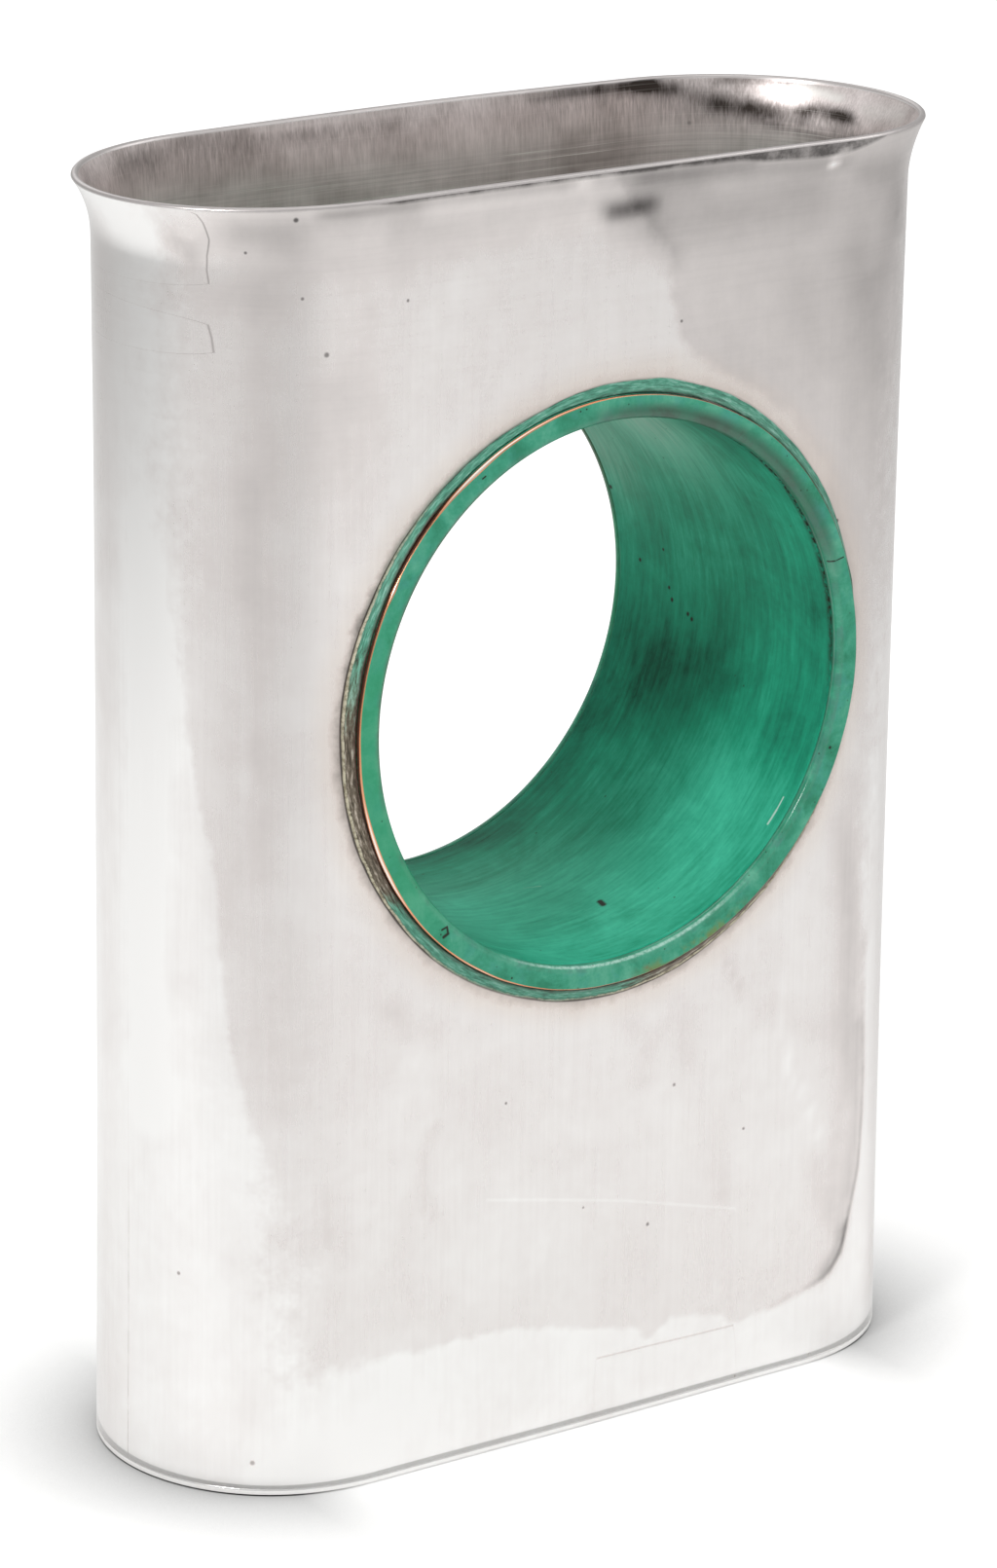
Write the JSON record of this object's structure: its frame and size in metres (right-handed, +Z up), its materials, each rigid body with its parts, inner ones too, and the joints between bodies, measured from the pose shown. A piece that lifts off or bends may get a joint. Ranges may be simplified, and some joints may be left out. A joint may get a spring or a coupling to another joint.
{
  "type": "hand washing vessel",
  "caption": "Tall oval metal vessel with a flared lip, a flat base and a round open sleeve through its flat sides as a hand hold, for pouring water over the hands.",
  "frame": {"origin": "middle of the underside of the base plate", "axes": "+Z up through the mouth, X along the long side of the oval, Y along the axis of the sleeve; the front side faces -Y"},
  "size_m": [0.1448, 0.059, 0.2],
  "materials": {
    "silver": "hand finished silver, softly brushed, with cloudy tarnish",
    "patina_copper": "copper with a waxed green patina, worn bright on its edge",
    "solder": "dull hard solder"
  },
  "bodies": {
    "root": {"body_wall": "silver", "base_plate": "silver", "base_solder": "solder", "sleeve_barrel": "patina_copper", "front_collar": "patina_copper", "rear_collar": "patina_copper", "front_collar_solder": "solder", "rear_collar_solder": "solder", "front_inner_solder": "solder", "rear_inner_solder": "solder"}
  },
  "joints": []
}
